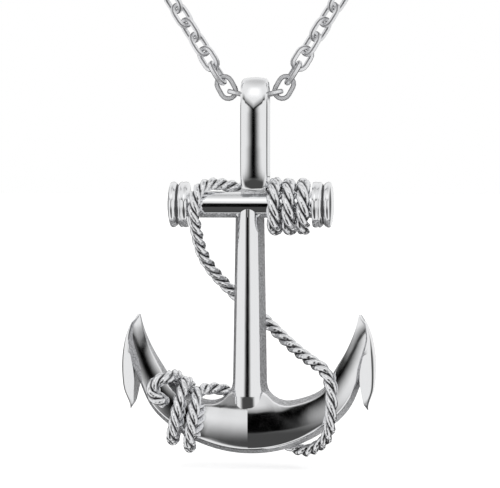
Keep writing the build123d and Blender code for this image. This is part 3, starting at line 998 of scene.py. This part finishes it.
# Floor, lights and the white tent that the metal mirrors
studio = {
    "floorGap": 1.3, "floorSize": 4000, "floorGlow": 0.45, "wall": 0.87,
    "lampDistance": 420, "lampAim": 10,
    # a dark gap in the white tent stands before the camera, with a roof-shaped top
    "gapAzimuth": -6, "gapSides": (1.4, 18), "gapBottom": (18, 20), "gapTop": 8.3, "gapRise": 0.5,
    # the gap stands on a dark table, which is darkest in the middle
    "lowShade": 0.075, "lowFade": (4, 34), "lowSides": (18, 46), "lowNearer": 0.5, "nearTable": 24,
    "under": (70, 76),
    # the tent's roof, and a dark seam along its lower edge
    "roofShade": 0.26, "roofFade": 13, "roofEdge": 0.5, "roofSides": (30, 60),
    "seamLine": (0.8, 2.4), "seamShade": 0.12, "overhead": (50, 85), "overheadShade": 0.7,
    "glowFrom": (24, 40), "glowTo": (46, 62), "glowWide": (6, 30), "glow": 0.3,
    "behind": (100, 120), "behindTop": (8, 22), "behindShade": 0.1, "behindEnd": (146, 158),
}


def makeFloor():
    bm = bmesh.new()
    bmesh.ops.create_grid(bm, x_segments=1, y_segments=1, size=studio["floorSize"] / 2 * mm)
    lowest = min(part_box("rope")[0].z, anchorLow.z)
    bmesh.ops.translate(bm, vec=(0, 0, lowest - studio["floorGap"] * mm), verts=bm.verts)
    mesh = bpy.data.meshes.new("floor")
    bm.to_mesh(mesh)
    bm.free()
    material, shader = newMaterial("pale_floor", (0.9, 0.9, 0.9), 1.0, 0.0)
    shader.inputs["Specular IOR Level"].default_value = 0.0
    shader.inputs["Emission Color"].default_value = (1, 1, 1, 1)
    shader.inputs["Emission Strength"].default_value = studio["floorGlow"]
    mesh.materials.append(material)
    floor = bpy.data.objects.new("floor", mesh)
    bpy.context.scene.collection.objects.link(floor)
    floor.visible_glossy = False


def mathNode(tree, operation, first, second=None):
    node = tree.nodes.new("ShaderNodeMath")
    node.operation = operation
    for socket, value in zip(node.inputs, (first, second)):
        if isinstance(value, (int, float)):
            socket.default_value = value
        elif value is not None:
            tree.links.new(value, socket)
    return node.outputs[0]


def smoothStep(tree, value, start, end, low=0.0, high=1.0):
    # from low to high as an angle goes from start to end, in degrees
    ranged = tree.nodes.new("ShaderNodeMapRange")
    ranged.interpolation_type = "SMOOTHSTEP"
    ranged.inputs["From Min"].default_value = radians(start)
    ranged.inputs["From Max"].default_value = radians(end)
    ranged.inputs["To Min"].default_value = low
    ranged.inputs["To Max"].default_value = high
    tree.links.new(value, ranged.inputs["Value"])
    return ranged.outputs["Result"]


def makeWorld():
    world = bpy.data.worlds.new("studio")
    bpy.context.scene.world = world
    world.use_nodes = True
    tree = world.node_tree
    background = tree.nodes["Background"]
    direction = tree.nodes.new("ShaderNodeTexCoord")
    split = tree.nodes.new("ShaderNodeSeparateXYZ")
    tree.links.new(direction.outputs["Generated"], split.inputs[0])
    up = mathNode(tree, "ARCSINE", split.outputs["Z"])
    down = mathNode(tree, "MULTIPLY", up, -1.0)
    forwards = mathNode(tree, "MULTIPLY", split.outputs["Y"], -1.0)
    azimuth = mathNode(tree, "ARCTAN2", split.outputs["X"], forwards)
    fromGap = mathNode(tree, "SUBTRACT", azimuth, radians(studio["gapAzimuth"]))
    off = mathNode(tree, "ABSOLUTE", fromGap)
    # the tent's walls, with the gap and the dark table under it
    besideGap = smoothStep(tree, off, *studio["gapSides"])
    underGap = smoothStep(tree, down, *studio["gapBottom"])
    nearer = mathNode(tree, "SUBTRACT", radians(studio["nearTable"]), off)
    nearer = mathNode(tree, "MAXIMUM", nearer, 0.0)
    tilted = mathNode(tree, "ADD", down, mathNode(tree, "MULTIPLY", nearer, studio["lowNearer"]))
    table = smoothStep(tree, tilted, *studio["lowFade"], 1.0, studio["lowShade"])
    besideTable = smoothStep(tree, off, *studio["lowSides"])
    underAll = smoothStep(tree, down, *studio["under"])
    low = mathNode(tree, "MAXIMUM", mathNode(tree, "MAXIMUM", table, besideTable), underAll)
    wall = mathNode(tree, "MULTIPLY", mathNode(tree, "MAXIMUM", besideGap, underGap), low)
    # the tent's roof over the gap
    near = mathNode(tree, "MINIMUM", off, radians(studio["roofSides"][0]))
    rise = mathNode(tree, "MULTIPLY", near, studio["gapRise"])
    edge = mathNode(tree, "ADD", rise, radians(studio["gapTop"]))
    over = mathNode(tree, "SUBTRACT", up, edge)
    roof = smoothStep(tree, over, 0, studio["roofFade"], studio["roofShade"], 1.0)
    farOff = smoothStep(tree, off, *studio["roofSides"])
    roof = mathNode(tree, "MAXIMUM", roof, farOff)
    isRoof = smoothStep(tree, over, 0, studio["roofEdge"])
    isWall = mathNode(tree, "SUBTRACT", 1.0, isRoof)
    fromSeam = mathNode(tree, "ABSOLUTE", over)
    seam = smoothStep(tree, fromSeam, *studio["seamLine"], studio["seamShade"], 1.0)
    seam = mathNode(tree, "MAXIMUM", seam, farOff)
    tent = mathNode(tree, "ADD", mathNode(tree, "MULTIPLY", wall, isWall),
                    mathNode(tree, "MULTIPLY", roof, isRoof))
    tent = mathNode(tree, "MULTIPLY", tent, seam)
    overhead = smoothStep(tree, up, *studio["overhead"], 1.0, studio["overheadShade"])
    tent = mathNode(tree, "MULTIPLY", tent, overhead)
    # behind the piece the studio is dark up to the tent's roof
    behind = smoothStep(tree, off, *studio["behind"])
    belowRoof = smoothStep(tree, up, *studio["behindTop"], 1.0, 0.0)
    behind = mathNode(tree, "MULTIPLY", behind, belowRoof)
    beforeEnd = smoothStep(tree, azimuth, *studio["behindEnd"], 1.0, 0.0)
    behind = mathNode(tree, "MULTIPLY", behind, beforeEnd)
    behind = mathNode(tree, "MULTIPLY", behind, 1.0 - studio["behindShade"])
    tent = mathNode(tree, "MULTIPLY", tent, mathNode(tree, "SUBTRACT", 1.0, behind))
    # a soft bright patch high in front
    glow = mathNode(tree, "MULTIPLY", smoothStep(tree, up, *studio["glowFrom"]),
                    smoothStep(tree, up, *studio["glowTo"], 1.0, 0.0))
    besideGlow = smoothStep(tree, off, *studio["glowWide"], studio["glow"], 0.0)
    glow = mathNode(tree, "MULTIPLY", glow, besideGlow)
    light = mathNode(tree, "ADD", mathNode(tree, "MULTIPLY", tent, studio["wall"]), glow)
    rays = tree.nodes.new("ShaderNodeLightPath")   # the camera itself sees plain white
    shown = mathNode(tree, "MAXIMUM", light, rays.outputs["Is Camera Ray"])
    tree.links.new(shown, background.inputs["Color"])
    background.inputs["Strength"].default_value = 1.0


def addSoftLight(name, azimuth, elevation, size, glow):
    # glow is the brightness of the lamp's face, which the metal doesn't mirror
    middle = Vector((0, 0, stockZ - studio["lampAim"]))
    away = Vector((sin(radians(azimuth)) * cos(radians(elevation)),
                   -cos(radians(azimuth)) * cos(radians(elevation)), sin(radians(elevation))))
    data = bpy.data.lights.new(name, "AREA")
    data.shape = "RECTANGLE"
    data.size, data.size_y = size[0] * mm, size[1] * mm
    data.energy = glow * pi * data.size * data.size_y
    lamp = bpy.data.objects.new(name, data)
    lamp.location = (middle + away * studio["lampDistance"]) * mm
    lamp.rotation_euler = (-away).to_track_quat("-Z", "Y").to_euler()
    lamp.visible_glossy = False
    bpy.context.scene.collection.objects.link(lamp)


makeFloor()
makeWorld()
addSoftLight("softbox", -6, 50, (260, 180), 0.8)
addSoftLight("stripLeft", -75, 15, (50, 320), 0.5)
addSoftLight("stripRight", 65, 20, (50, 320), 0.5)
bpy.context.scene.view_settings.view_transform = "Standard"
print("studio ready")
